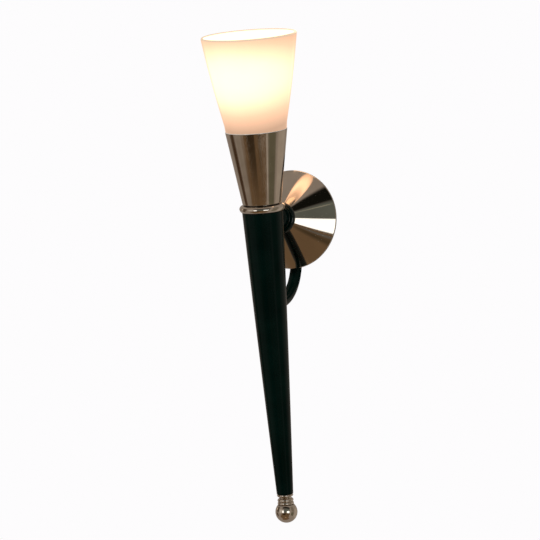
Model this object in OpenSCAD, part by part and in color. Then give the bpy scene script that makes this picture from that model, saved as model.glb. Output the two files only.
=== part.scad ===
// Torch sconce: a leaning tapered torch with an opal glass shade, carried in front of a conical canopy.
// Wall plane at Y = 0, room towards -Y, +Z up. The origin is the middle of the wall plate's back face.

/* [Torch] */
// Lean of the torch, top towards the room
lean = 12.5; // [0:0.5:20]
// Distance from the wall to the torch axis at the canopy's height
axis_out = 106.8; // [95:0.1:130]
// Length of the tapered shaft, from the bead ring down to the finial
shaft_len = 346; // [250:1:420]
// Shaft radius where the torch axis crosses the canopy's axis
shaft_r = 24.48; // [22:0.01:28]
// Shaft taper at that height, in mm of radius per mm of length
shaft_taper = 0.0372; // [0.03:0.0001:0.045]
// Swell of the shaft, in mm of radius per square mm of length
shaft_swell = 0.0000155; // [0:0.0000001:0.00003]
// Wall of the shaft tube
shaft_wall = 2; // [1.2:0.1:3]

/* [Cup and shade] */
// Outer radius of the cup at its mouth
cup_top_r = 37.4; // [34:0.1:42]
// Outer radius of the cup at its foot
cup_foot_r = 23.3; // [20:0.1:25]
// Height of the cup
cup_h = 88.5; // [70:0.5:110]
// Sheet thickness of the cup
cup_wall = 1.2; // [0.8:0.1:2]
// Outer radius of the shade's shoulder, which rests on the cup
shade_foot_r = 36.8; // [36.4:0.1:40]
// Outer radius of the shade's rim
shade_rim_r = 57.9; // [50:0.1:70]
// Height of the shade above the cup
shade_h = 115.2; // [90:0.1:140]
// Shade taper at its foot, in mm of radius per mm of height
shade_taper = 0.23; // [0.15:0.001:0.3]
// Swell of the shade, in mm of radius per square mm of height
shade_swell = 0.00034; // [0:0.00001:0.0005]
// Glass thickness
glass_wall = 3.2; // [2.5:0.1:4]
// Depth of the shade's neck inside the cup
neck_depth = 10; // [6:0.5:14]

/* [Bead ring and finial] */
// Outer radius of the bead ring between shaft and cup
bead_r = 27.6; // [25:0.1:30]
// Radius of the bead's round edge
bead_edge_r = 4.3; // [3:0.1:5]
// Radius of the finial ball
ball_r = 13.4; // [10:0.1:16]

/* [Canopy] */
// Radius of the canopy's rim
canopy_r = 60; // [55:0.5:75]
// Distance from the wall to the canopy's rim
canopy_out = 25; // [22:0.5:32]
// Height of the cone from its lip to its flat seat
canopy_h = 27.8; // [16:0.1:34]
// Width of the lip turned back at the rim
canopy_lip = 1.8; // [1:0.1:4]
// Sheet thickness of the canopy
canopy_wall = 1; // [0.6:0.1:1.5]
// Radius of the canopy's flat seat under the collar
seat_r = 18; // [16:0.5:22]

/* [Collar and neck] */
// Outer radius of the collar bead
collar_r = 19.5; // [16:0.1:22]
// Radius of the collar's round edge
collar_edge_r = 3.4; // [2:0.1:4]
// Radius of the neck that the canopy slides on
neck_r = 12.85; // [10:0.05:14]
// Radius of the neck where it meets the shaft
neck_tip_r = 9.3; // [7:0.1:11]

/* [Arm] */
// Outer radius of the bent tube
arm_r = 7; // [5:0.1:8]
// Wall of the bent tube
arm_wall = 1.5; // [1:0.1:2.5]
// Bend radius on the tube's centreline
bend_r = 52.8; // [40:0.1:60]
// Height of the arm's foot below the canopy's axis
arm_drop = 102.5; // [80:0.5:130]

/* [Wall plate] */
// Radius of the wall plate
plate_r = 45; // [40:1:50]
// Thickness of the wall plate
plate_t = 3; // [2:0.5:4]
// Distance between the two screw slots
slot_span = 69.85; // [60:0.05:76]
// End-to-end length of a slot
slot_len = 9; // [6:0.5:12]
// Half the width of a slot
slot_r = 2.25; // [2:0.05:3]

/* [Hidden] */

$fn = 96;
slack = 0.05;            // radial play of every plain "threaded" or slid joint
lift_gap = 0.3;          // distance kept between pieces that part from each other
pipe_r = 5;              // M10 threaded pipe
pipe_bore_r = 3.5;
bead_s = 10;             // stations run along the torch axis, from where it crosses the canopy's axis
cup_s = 15.5;
shaft_top_s = bead_s - bead_edge_r - 0.2;
shaft_end_s = shaft_top_s - shaft_len;
cup_top_s = cup_s + cup_h;
shade_s = cup_top_s + 0.4;
rim_s = shade_s + shade_h;
riser_foot_s = 2.5;
holder_s = 44;           // the lampholder's threaded cap ends 2 mm above this
lamp_s = 78;             // the lamp's centre contact
bulb_r = 30;
bulb_turn = -40;         // where the waist runs into the ball, as an angle on the ball
bulb_neck_r = 12.6;
bulb_waist_r = (bulb_r * cos(bulb_turn) - bulb_neck_r) / (1 - cos(bulb_turn));
bulb_foot_s = lamp_s + 27.25;
bulb_s = bulb_foot_s - (bulb_r + bulb_waist_r) * sin(bulb_turn);
ball_s = shaft_end_s - 22.7;
finial_flat_s = shaft_end_s - 13.9;    // where the collar meets the ball
collar_out = canopy_out + canopy_lip + canopy_h;
arm_back = plate_t + slack + arm_r;
boss_h = 9;              // front of the plate's tapped boss
nut_h = 4;
stem_end = 97;           // the stem pipe ends inside the shaft's head
neck_back = canopy_out + 6;
earth_z = 30;
saddle_z = -30;
saddle_span = 29;        // between the strap's two screws
saddle_w = 14;
saddle_t = 1.5;
steel = "silver";
black = [0.05, 0.06, 0.06];
nickel = [0.72, 0.68, 0.62];
brass = [0.75, 0.6, 0.3];

function arc(x, y, r, from, to, n) = [for (i = [0:n]) let(a = from + (to - from) * i / n)
  [x + r * cos(a), y + r * sin(a)]];
function shaft_radius(s) = shaft_r + shaft_taper * s - shaft_swell * s * s;
function cup_radius(s) = cup_foot_r + (cup_top_r - cup_foot_r) * (s - cup_s) / cup_h;
function shade_radius(s) = shade_rim_r - shade_taper * (rim_s - s)
  + shade_swell * (pow(shade_h, 2) - pow(s - shade_s, 2));
function mix(a, b, t) = a + (b - a) * (3 * t * t - 2 * t * t * t);

// Places a piece drawn along +Z on the leaning torch axis
module on_torch(s = 0) {
  translate([0, -axis_out, 0])
    rotate([lean, 0, 0])
      translate([0, 0, s])
        children();
}

// Places a piece drawn along +Z so that it runs out from the wall, starting at the distance given
module from_wall(out = 0) {
  translate([0, -out, 0])
    rotate([90, 0, 0])
      children();
}

module turned(profile) {
  rotate_extrude()
    polygon(profile);
}

module pipe(r, bore_r, h) {
  difference() {
    cylinder(r = r, h = h);
    translate([0, 0, -1])
      cylinder(r = bore_r, h = h + 2);
  }
}

module slot(r, length, h) {
  reach = length / 2 - r;
  for (side = [-1, 1])
    translate([side * reach, 0, 0])
      cylinder(r = r, h = h);
  translate([-reach, -r, 0])
    cube([2 * reach, 2 * r, h]);
}

module hex_nut(across, h, bore_r) {
  difference() {
    intersection() {
      cylinder(r = across / sqrt(3), h = h, $fn = 6);
      turned([[0, 0], [across * 0.5, 0], [across * 0.58, h * 0.2], [across * 0.58, h * 0.8],
        [across * 0.5, h], [0, h]]);
    }
    translate([0, 0, -1])
      cylinder(r = bore_r, h = h + 2);
  }
}

module pan_screw(head_r, head_h, shank_r, shank_len) {
  difference() {
    union() {
      turned(concat([[0, 0], [head_r, 0], [head_r, head_h * 0.4]],
        [for (i = [1:5]) [head_r * cos(i * 18), head_h * (0.4 + 0.6 * sin(i * 18))]]));
      translate([0, 0, -shank_len])
        cylinder(r = shank_r, h = shank_len + 0.1);
    }
    translate([-head_r, -0.5, head_h * 0.55])
      cube([2 * head_r, 1, head_h]);
  }
}

// The shaft's outer skin as a plain cone round the height z, for pieces that are cut to seat on it
module shaft_skin(z) {
  s = z / cos(lean);
  on_torch(s - 30)
    cylinder(r1 = shaft_radius(s - 30) + 0.02, r2 = shaft_radius(s + 30) + 0.02, h = 60);
}

// ---- wall plate and what is fixed to it ----

module wall_plate() {
  color(steel)
    difference() {
      from_wall()
        turned([[0, 0], [plate_r, 0], [plate_r, plate_t - 0.6], [plate_r - 0.6, plate_t],
          [12, plate_t], [11, boss_h], [0, boss_h]]);
      from_wall(-1)
        cylinder(r = pipe_r + slack, h = 12);
      for (side = [-1, 1])
        from_wall(-1)
          translate([side * slot_span / 2, 0, 0])
            slot(slot_r, slot_len, plate_t + 2);
      translate([0, 0, earth_z])
        from_wall(-1)
          cylinder(r = 2, h = plate_t + 2);
      for (side = [-1, 1])
        translate([side * saddle_span / 2, 0, saddle_z])
          from_wall(-1)
            cylinder(r = 2, h = plate_t + 2);
    }
}

module earth_washer() {
  color(brass)
    translate([0, 0, earth_z])
      from_wall(plate_t)
        pipe(4.6, 2.1, 0.8);
}

module earth_screw() {
  color([0.3, 0.55, 0.3])
    translate([0, 0, earth_z])
      from_wall(plate_t + 0.8)
        pan_screw(3.8, 2.4, 2 - slack, plate_t + 0.6);
}

// Strap over the tube, with a foot on each side
module arm_saddle() {
  hug_r = arm_r + slack;
  color(steel)
    translate([0, 0, saddle_z - saddle_w / 2])
      difference() {
        union() {
          translate([0, -arm_back, 0])
            cylinder(r = hug_r + saddle_t, h = saddle_w);
          translate([-hug_r - saddle_t, -arm_back, 0])
            cube([2 * (hug_r + saddle_t), arm_back - plate_t, saddle_w]);
          translate([-saddle_span / 2 - 5, -plate_t - saddle_t, 0])
            cube([saddle_span + 10, saddle_t, saddle_w]);
        }
        translate([0, -arm_back, -1])
          cylinder(r = hug_r, h = saddle_w + 2);
        translate([-hug_r, -arm_back, -1])
          cube([2 * hug_r, arm_back, saddle_w + 2]);
        for (side = [-1, 1])
          translate([side * saddle_span / 2, -plate_t + 1, saddle_w / 2])
            rotate([90, 0, 0])
              cylinder(r = 2.1, h = saddle_t + 2);
      }
}

module saddle_screws() {
  color(steel)
    for (side = [-1, 1])
      translate([side * saddle_span / 2, 0, saddle_z])
        from_wall(plate_t + saddle_t)
          pan_screw(3.8, 2.4, 2 - slack, plate_t + saddle_t - 0.2);
}

// ---- stem through the canopy ----

module stem_pipe() {
  color(brass)
    from_wall(0.5)
      pipe(pipe_r, pipe_bore_r, stem_end - 0.5);
}

module stem_locknut() {
  color(brass)
    from_wall(boss_h)
      hex_nut(16, nut_h, pipe_r + slack);
}

module stem_spacer() {
  color(steel)
    from_wall(boss_h + nut_h)
      pipe(8, pipe_r + slack, neck_back - boss_h - nut_h);
}

// Turned neck: plain where the canopy slides, then drawn in to seat on the shaft
module stem_neck() {
  plain_end = canopy_out + 40;
  tip = axis_out - 8;
  color(black)
    difference() {
      from_wall()
        turned(concat([[pipe_r + slack, neck_back], [neck_r - 0.5, neck_back], [neck_r, neck_back + 0.5]],
          [for (i = [0:8]) [mix(neck_r, neck_tip_r, i / 8), plain_end + i * 14 / 8]],
          [[neck_tip_r, tip], [pipe_r + slack, tip]]));
      shaft_skin(0);
    }
}

// ---- canopy ----

// Spun cone with a narrow lip turned back at the rim and a flat seat under the collar
module canopy_cone() {
  w = canopy_wall;
  color(nickel)
    from_wall(canopy_out)
      turned([[canopy_r - w, 0], [canopy_r - 0.2, 0], [canopy_r, 0.2], [canopy_r, canopy_lip - 0.3],
        [canopy_r - 0.4, canopy_lip + 0.15], [seat_r, canopy_lip + canopy_h],
        [neck_r + slack, canopy_lip + canopy_h], [neck_r + slack, canopy_lip + canopy_h - w],
        [seat_r - 0.3, canopy_lip + canopy_h - w], [canopy_r - w, canopy_lip - w * 0.6]]);
}

// Black turned collar with a round edge and a small step up to the neck
module canopy_collar() {
  bead_x = collar_r - collar_edge_r;
  color(black)
    difference() {
      from_wall(collar_out)
        turned(concat([[neck_r + slack, 0]],
          arc(bead_x, collar_edge_r, collar_edge_r, -90, 80, 14),
          [[neck_r + 1.6, 2 * collar_edge_r + 0.1], [neck_r + 1.2, 2 * collar_edge_r + 0.7],
            [neck_r + slack, 2 * collar_edge_r + 0.7]]));
      translate([0, -collar_out - collar_edge_r, -collar_r - 1])
        cylinder(r = 2 + slack, h = collar_r);
    }
}

module collar_grub_screw() {
  color(steel)
    translate([0, -collar_out - collar_edge_r, -collar_r + 0.4])
      difference() {
        cylinder(r = 2, h = collar_r - neck_r - 0.5);
        translate([0, 0, -1])
          cylinder(r = 1.15, h = 2.6, $fn = 6);
      }
}

// ---- bent arm ----

module arm_path(r, top_z, tip) {
  bend_z = -arm_drop + bend_r;
  translate([0, -arm_back, bend_z])
    cylinder(r = r, h = top_z - bend_z);
  translate([0, -arm_back - bend_r, bend_z])
    rotate([-90, 0, 90])
      rotate_extrude(angle = 90)
        translate([bend_r, 0])
          circle(r = r);
  translate([0, -arm_back - bend_r, -arm_drop])
    rotate([90, 0, 0])
      cylinder(r = r, h = tip - arm_back - bend_r);
}

module arm_tube() {
  color(black)
    difference() {
      arm_path(arm_r, -14, 75);
      arm_path(arm_r - arm_wall, -13, 76);
      shaft_skin(-arm_drop);
    }
}

// Plug in the tube's end: it follows the start of the bend and is tapped for the stud
module arm_plug() {
  color(steel)
    difference() {
      intersection() {
        arm_path(arm_r - arm_wall - slack, -14, 75);
        translate([-10, -75, -arm_drop - 10])
          cube([20, 23, 20]);
      }
      shaft_skin(-arm_drop);
      translate([0, -80, -arm_drop])
        rotate([-90, 0, 0])
          cylinder(r = 3 + slack, h = 30);
    }
}

module arm_stud() {
  color(steel)
    translate([0, -78, -arm_drop])
      rotate([-90, 0, 0])
        cylinder(r = 3, h = 24);
}

// ---- shaft ----

module shaft_solid(inset, from, to) {
  steps = 24;
  turned(concat([[0, from]],
    [for (i = [0:steps]) let(s = from + (to - from) * i / steps) [shaft_radius(s) - inset, s]],
    [[0, to]]));
}

module arm_hole() {
  translate([0, -90, -arm_drop])
    rotate([-90, 0, 0])
      cylinder(r = 3 + slack, h = 40);
}

module stem_hole() {
  translate([0, -axis_out - 4, 0])
    rotate([-90, 0, 0])
      cylinder(r = pipe_r + slack, h = 60);
}

// Block inside the shaft that the arm's stud screws into
module shaft_block() {
  s = -arm_drop / cos(lean) - 5;
  color(steel)
    difference() {
      on_torch()
        shaft_solid(shaft_wall + slack, s - 11, s + 11);
      arm_hole();
    }
}

// Tapered tube with a slight swell
module shaft_tube() {
  color(black)
    difference() {
      on_torch()
        shaft_solid(0, shaft_end_s, shaft_top_s);
      on_torch()
        shaft_solid(shaft_wall, shaft_end_s - 1, shaft_top_s + 1);
      stem_hole();
      arm_hole();
    }
}

// Turned block in the shaft's top, tapped for the stem and for the riser
module shaft_head() {
  color(steel)
    difference() {
      on_torch()
        shaft_solid(shaft_wall + slack, shaft_top_s - 24, shaft_top_s - slack);
      stem_hole();
      on_torch(-6)
        cylinder(r = pipe_r + slack, h = 30);
    }
}

module shaft_foot() {
  color(steel)
    difference() {
      on_torch()
        shaft_solid(shaft_wall + slack, shaft_end_s + slack, shaft_end_s + 18);
      on_torch(shaft_end_s - 1)
        cylinder(r = 3 + slack, h = 22);
    }
}

// ---- cup, bead ring and riser ----

// Turned ring with a half-round edge; a raised seat lifts the cup clear of the bead
module bead_ring() {
  bottom = bead_s - bead_edge_r;
  color(nickel)
    on_torch()
      turned(concat([[pipe_r + slack, shaft_top_s], [bead_r - bead_edge_r + 0.6, shaft_top_s],
        [bead_r - bead_edge_r + 0.6, bottom]],
        arc(bead_r - bead_edge_r, bead_s, bead_edge_r, -80, 90, 20),
        [[cup_foot_r - 2.2, bead_s + bead_edge_r], [cup_foot_r - 2.2, cup_s], [pipe_r + slack, cup_s]]));
}

module cup() {
  inner = cup_radius(cup_s + 1.5) - cup_wall;
  color(nickel)
    on_torch()
      turned([[pipe_r + slack, cup_s], [cup_foot_r - 0.4, cup_s], [cup_foot_r, cup_s + 0.4],
        [cup_top_r, cup_top_s - 0.3], [cup_top_r - 0.3, cup_top_s], [cup_top_r - cup_wall, cup_top_s],
        [inner, cup_s + 1.5], [pipe_r + slack, cup_s + 1.5]]);
}

module cup_washer() {
  color(steel)
    on_torch(cup_s + 1.5)
      pipe(12, pipe_r + slack, 1.5);
}

module cup_nut() {
  color(brass)
    on_torch(cup_s + 3)
      hex_nut(16, nut_h, pipe_r + slack);
}

module riser_pipe() {
  color(brass)
    on_torch(riser_foot_s)
      pipe(pipe_r, pipe_bore_r, holder_s + 2 - riser_foot_s);
}

// ---- lampholder ----

module holder_cap() {
  color(brass)
    on_torch(holder_s - 5)
      turned([[pipe_r + slack, 0], [9, 0], [10, 1], [11, 4], [17.5, 5], [17.5, 7], [pipe_r + slack, 7]]);
}

// Glazed ceramic body with a deep socket, a floor and two wire holes
module holder_body() {
  base = holder_s + 2;
  color("ivory")
    difference() {
      on_torch()
        turned([[0, base], [17.5, base], [18.5, base + 1], [18.5, base + 30], [20, base + 34],
          [20, base + 51], [19, base + 52], [14, base + 52], [13.8, base + 51], [13.8, base + 28],
          [0, base + 28]]);
      for (side = [-1, 1])
        on_torch(base - 1)
          translate([side * 9, 0, 0])
            cylinder(r = 2, h = 30);
      on_torch(base - 1)
        translate([-9, -2, 0])
          cube([18, 4, 6.5]);
      on_torch(base - 1)
        cylinder(r = 6, h = 6.5);
    }
}

module holder_shell() {
  color(brass)
    on_torch(holder_s + 32)
      pipe(13.75, 13.4, 20);
}

// Springy centre contact: a tongue bent up from the socket's floor
module holder_contact() {
  color(brass)
    on_torch(holder_s + 30.05)
      rotate([90, 0, 0])
        translate([0, 0, -3])
          linear_extrude(6)
            polygon([[-8, 0], [4, 0], [9, 2.4], [2, 3.7], [-3, 3.7], [-3, 3.3], [1.8, 3.3], [7.4, 2.2],
              [3.8, 0.4], [-8, 0.4]]);
}

module holder_terminals() {
  color(brass)
    for (side = [-1, 1])
      on_torch(holder_s + 26)
        translate([side * 9, 0, 0])
          cylinder(r = 1.9, h = 4);
}

// ---- shade ----

module shade_gasket() {
  color("white")
    on_torch(cup_top_s)
      pipe(cup_top_r - 0.2, cup_top_r - cup_wall, 0.35);
}

// Opal glass cone with a slight swell: its neck drops into the cup, its shoulder rests on the gasket,
// its lip is round
module shade_glass() {
  lip_r = glass_wall / 2;
  neck_top_r = cup_top_r - cup_wall - lift_gap - 0.25;
  neck_foot_s = shade_s - neck_depth;
  neck_foot_r = cup_radius(neck_foot_s) - cup_wall - lift_gap - 0.25;
  neck_wall = 2.6;
  lip_s = rim_s - lip_r;
  outer_s = shade_s + 8;
  inner_s = shade_s + 12;
  steps = 8;
  color([0.98, 0.96, 0.88])
    on_torch()
      turned(concat([[neck_foot_r - neck_wall, neck_foot_s], [neck_foot_r, neck_foot_s],
        [neck_top_r, shade_s], [shade_foot_r, shade_s]],
        [for (i = [0:steps]) let(s = outer_s + (lip_s - outer_s) * i / steps) [shade_radius(s), s]],
        arc(shade_radius(lip_s) - lip_r, lip_s, lip_r, 20, 160, 7),
        [for (i = [0:steps]) let(s = lip_s - (lip_s - inner_s) * i / steps)
          [shade_radius(s) - glass_wall, s]]));
}

// ---- lamp ----

module lamp_contact() {
  color(brass)
    on_torch(lamp_s)
      turned([[0, 0], [3, 0], [4.5, 0.8], [4.5, 1.6], [0, 1.6]]);
}

module lamp_insulator() {
  color([0.1, 0.1, 0.1])
    on_torch(lamp_s + 1.6)
      turned([[0, 0], [5, 0], [9.5, 3], [9.5, 3.6], [0, 3.6]]);
}

// Screw cap, with its rolled thread as round beads
module lamp_cap() {
  turns = 5;
  pitch = 3.6;
  color(nickel)
    on_torch(lamp_s + 5.2)
      turned(concat([[0, 0], [10, 0], [11.8, 1]],
        [for (i = [0:turns - 1], j = [0:3]) [12.3 + 0.75 * sin(j * 90), 1.6 + pitch * (i + j / 4)]],
        [[12.6, 1.6 + pitch * turns], [12.6, 22], [0, 22]]));
}

// Opal bulb: a waisted neck that runs into a ball
module lamp_glass() {
  wall = 1;
  waist_x = bulb_neck_r + bulb_waist_r;
  color("white")
    on_torch()
      turned(concat(
        arc(waist_x, bulb_foot_s, bulb_waist_r, 180, 180 + bulb_turn, 8),
        arc(0, bulb_s, bulb_r, bulb_turn + 6, 90, 18),
        arc(0, bulb_s, bulb_r - wall, 90, bulb_turn + 6, 18),
        arc(waist_x, bulb_foot_s, bulb_waist_r + wall, 180 + bulb_turn, 180, 8)));
}

// ---- leads: through the stem to the head, up the riser and out to the holder's terminals ----

module lead(side) {
  lead_r = 1.2;
  ball = lead_r + 0.02;
  x = side * 1.7;
  end_x = side * 9;
  turn_s = holder_s + 5;
  translate([x, -axis_out, 0]) {
    rotate([-90, 0, 0])
      cylinder(r = lead_r, h = axis_out);
    sphere(r = ball);
  }
  on_torch()
    translate([x, 0, 0])
      cylinder(r = lead_r, h = turn_s);
  on_torch(turn_s)
    translate([x, 0, 0]) {
      sphere(r = ball);
      rotate([0, side * 90, 0])
        cylinder(r = lead_r, h = abs(end_x - x));
    }
  on_torch(turn_s)
    translate([end_x, 0, 0]) {
      sphere(r = ball);
      cylinder(r = lead_r, h = 21);
    }
}

module lead_live() {
  color([0.35, 0.2, 0.1])
    lead(1);
}

module lead_neutral() {
  color([0.3, 0.4, 0.7])
    lead(-1);
}

// ---- finial ----

// A bead under the shaft, a groove, then two beads
module finial_collar() {
  top = shaft_end_s;
  color(nickel)
    on_torch()
      turned(concat([[3 + slack, top], [8.7, top]],
        arc(7.9, top - 1.9, 1.9, 60, -78, 8),
        [[7.4, top - 4.4], [7.4, top - 5.6]],
        arc(7.5, top - 8, 2.2, 80, -60, 8),
        arc(7.7, top - 11.9, 2.2, 60, -50, 8),
        [[8.8, finial_flat_s], [3 + slack, finial_flat_s]]));
}

module finial_ball() {
  color(nickel)
    on_torch()
      difference() {
        turned(concat(arc(0, ball_s, ball_r, -90, asin((finial_flat_s - ball_s) / ball_r), 28),
          [[0, finial_flat_s]]));
        translate([0, 0, ball_s - 4])
          cylinder(r = 3 + slack, h = 20);
      }
}

module finial_stud() {
  color(steel)
    on_torch(ball_s - 3.5)
      cylinder(r = 3, h = 35);
}

wall_plate();
earth_washer();
earth_screw();
arm_saddle();
saddle_screws();
stem_pipe();
stem_locknut();
stem_spacer();
stem_neck();
canopy_cone();
canopy_collar();
collar_grub_screw();
arm_tube();
arm_plug();
arm_stud();
shaft_block();
shaft_tube();
shaft_head();
shaft_foot();
bead_ring();
cup();
cup_washer();
cup_nut();
riser_pipe();
holder_cap();
holder_body();
holder_shell();
holder_contact();
holder_terminals();
shade_gasket();
shade_glass();
lamp_cap();
lamp_insulator();
lamp_contact();
lamp_glass();
lead_live();
lead_neutral();
finial_collar();
finial_ball();
finial_stud();
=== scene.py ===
import math

import bmesh
import bpy
from mathutils import Matrix, Vector


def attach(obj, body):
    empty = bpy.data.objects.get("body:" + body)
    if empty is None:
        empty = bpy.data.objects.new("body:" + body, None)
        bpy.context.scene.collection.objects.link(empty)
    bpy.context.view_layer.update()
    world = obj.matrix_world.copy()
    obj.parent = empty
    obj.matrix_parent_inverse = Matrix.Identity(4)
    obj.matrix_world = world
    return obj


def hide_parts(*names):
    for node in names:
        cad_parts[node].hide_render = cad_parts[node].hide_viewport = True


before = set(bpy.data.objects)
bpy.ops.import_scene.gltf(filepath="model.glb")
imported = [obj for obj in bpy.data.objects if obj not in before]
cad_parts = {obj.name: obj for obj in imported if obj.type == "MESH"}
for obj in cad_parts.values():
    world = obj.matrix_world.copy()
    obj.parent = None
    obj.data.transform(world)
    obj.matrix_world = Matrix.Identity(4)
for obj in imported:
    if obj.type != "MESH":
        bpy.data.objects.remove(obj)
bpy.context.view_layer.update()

# The torch's leaning axis, and the canopy's axis that runs straight out from the wall. "along" is
# the way each of them points, and "place" takes a piece turned round Z onto it.
torchLean = math.radians(12.5)
axes = {
    "torch": {"location": (0, -0.1068, 0), "turn": (torchLean, 0, 0),
              "along": (0, -math.sin(torchLean), math.cos(torchLean))},
    "wall": {"location": (0, 0, 0), "turn": (math.radians(90), 0, 0), "along": (0, -1, 0)},
}
for line in axes.values():
    turn = Matrix.Rotation(line["turn"][0], 4, "X")
    line["place"] = Matrix.Translation(line["location"]) @ turn


# Camera: a long lens to the right of the fitting and a touch below it. Angles in degrees,
# "aim" and distances in metres, lens and sensor in millimetres.
cameraSettings = {"azimuth": 25.252, "elevation": -2.489, "roll": 0.824, "distance": 6.0767,
                  "aim": (-0.024228, -0.033468, -0.061581), "lens": 333.333, "sensor": 36,
                  "farthest": 60}


def placeCamera(settings):
    around, up, roll = (math.radians(settings[k]) for k in ("azimuth", "elevation", "roll"))
    right = Vector((math.cos(around), math.sin(around), 0))
    back = Vector((math.sin(around) * math.cos(up), -math.cos(around) * math.cos(up), math.sin(up)))
    above = back.cross(right)
    right, above = (right * math.cos(roll) + above * math.sin(roll),
                    above * math.cos(roll) - right * math.sin(roll))
    data = bpy.data.cameras.new("camera")
    data.lens = settings["lens"]
    data.sensor_width = settings["sensor"]
    data.clip_end = settings["farthest"]
    camera = bpy.data.objects.new("camera", data)
    bpy.context.collection.objects.link(camera)
    place = Matrix((right, above, back)).transposed().to_4x4()
    place.translation = Vector(settings["aim"]) + back * settings["distance"]
    camera.matrix_world = place
    bpy.context.scene.camera = camera


placeCamera(cameraSettings)
bpy.context.scene.view_settings.view_transform = "Standard"
print("camera placed")


# Small tools: colours and nodes
def linear(hexColour, share=1):
    channels = [int(hexColour[i:i + 2], 16) / 255 for i in (1, 3, 5)]
    return tuple(share * (c / 12.92 if c <= 0.04045 else ((c + 0.055) / 1.055) ** 2.4)
                 for c in channels) + (1,)


def addNode(tree, kind, settings=None, links=None):
    # a setting is a socket by name or number, "stops" of a colour ramp, or else a property
    node = tree.nodes.new(kind)
    for name, value in (settings or {}).items():
        if name == "stops":
            elements = node.color_ramp.elements
            for index, (place, colour) in enumerate(value):
                stop = elements[index] if index < 2 else elements.new(place)
                stop.position, stop.color = place, colour
        elif isinstance(name, int) or name in node.inputs:
            node.inputs[name].default_value = value
        else:
            setattr(node, name, value)
    for name, source in (links or {}).items():
        tree.links.new(source, node.inputs[name])
    return node


def maths(tree, operation, *parts, **more):
    values = {i: p for i, p in enumerate(parts) if isinstance(p, (int, float))}
    links = {i: p for i, p in enumerate(parts) if not isinstance(p, (int, float))}
    return addNode(tree, "ShaderNodeMath", {"operation": operation, **values, **more},
                   links).outputs[0]


def vectorMaths(tree, operation, values, links):
    return addNode(tree, "ShaderNodeVectorMath", {"operation": operation, **values}, links).outputs


def mapSpan(tree, value, given, wanted=(0, 1), **more):
    settings = {"From Min": given[0], "From Max": given[1], "To Min": wanted[0],
                "To Max": wanted[1], **more}
    return addNode(tree, "ShaderNodeMapRange", settings, {"Value": value}).outputs["Result"]


def mixColours(tree, share, values, links):
    # socket 6 is the colour at share 0, socket 7 the colour at share 1
    return addNode(tree, "ShaderNodeMix", {"data_type": "RGBA", **values},
                   {0: share, **links}).outputs[2]


def ramp(tree, value, stops):
    return addNode(tree, "ShaderNodeValToRGB", {"stops": stops}, {"Fac": value}).outputs["Color"]


def noise(tree, where, sizeMm, detail=2, **more):
    return addNode(tree, "ShaderNodeTexNoise", {"Scale": 1000 / sizeMm, "Detail": detail, **more},
                   {"Vector": where}).outputs["Fac"]


def splitVector(tree, vector):
    return addNode(tree, "ShaderNodeSeparateXYZ", {}, {"Vector": vector}).outputs


def joinVector(tree, values=None, links=None):
    return addNode(tree, "ShaderNodeCombineXYZ", values, links).outputs[0]


def metres(millimetres):
    return tuple(v / 1000 for v in millimetres)


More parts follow.
